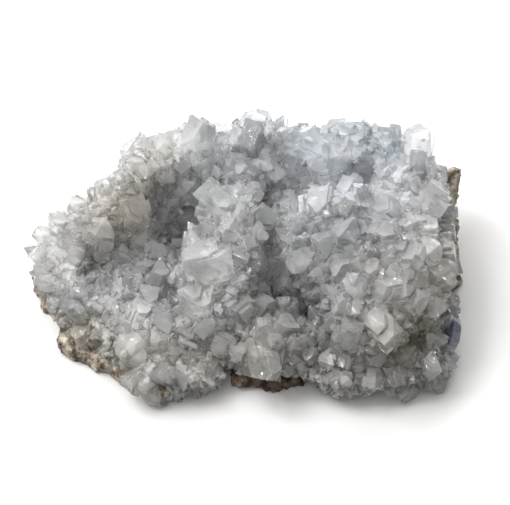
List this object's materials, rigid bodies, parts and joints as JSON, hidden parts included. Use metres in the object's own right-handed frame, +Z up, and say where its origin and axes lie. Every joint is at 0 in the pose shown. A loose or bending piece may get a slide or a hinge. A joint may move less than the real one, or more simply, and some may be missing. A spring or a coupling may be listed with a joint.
{
  "type": "crystal cluster",
  "caption": "Celestite crystal cluster: a crust of blocky pale grey-blue crystals on a broken piece of host rock.",
  "frame": {"origin": "bottom centre of the bounding box, on the surface that the specimen rests on", "axes": "+X along the length, -Y towards the viewer, +Z up"},
  "size_m": [0.125, 0.081, 0.0439],
  "materials": {
    "host_rock": "rough, matt, grey-brown",
    "celestite": "vitreous, translucent, pale grey-blue with milky and cream zones"
  },
  "bodies": {
    "root": {"matrix": "host_rock", "crystal_crust": "celestite"}
  },
  "joints": []
}
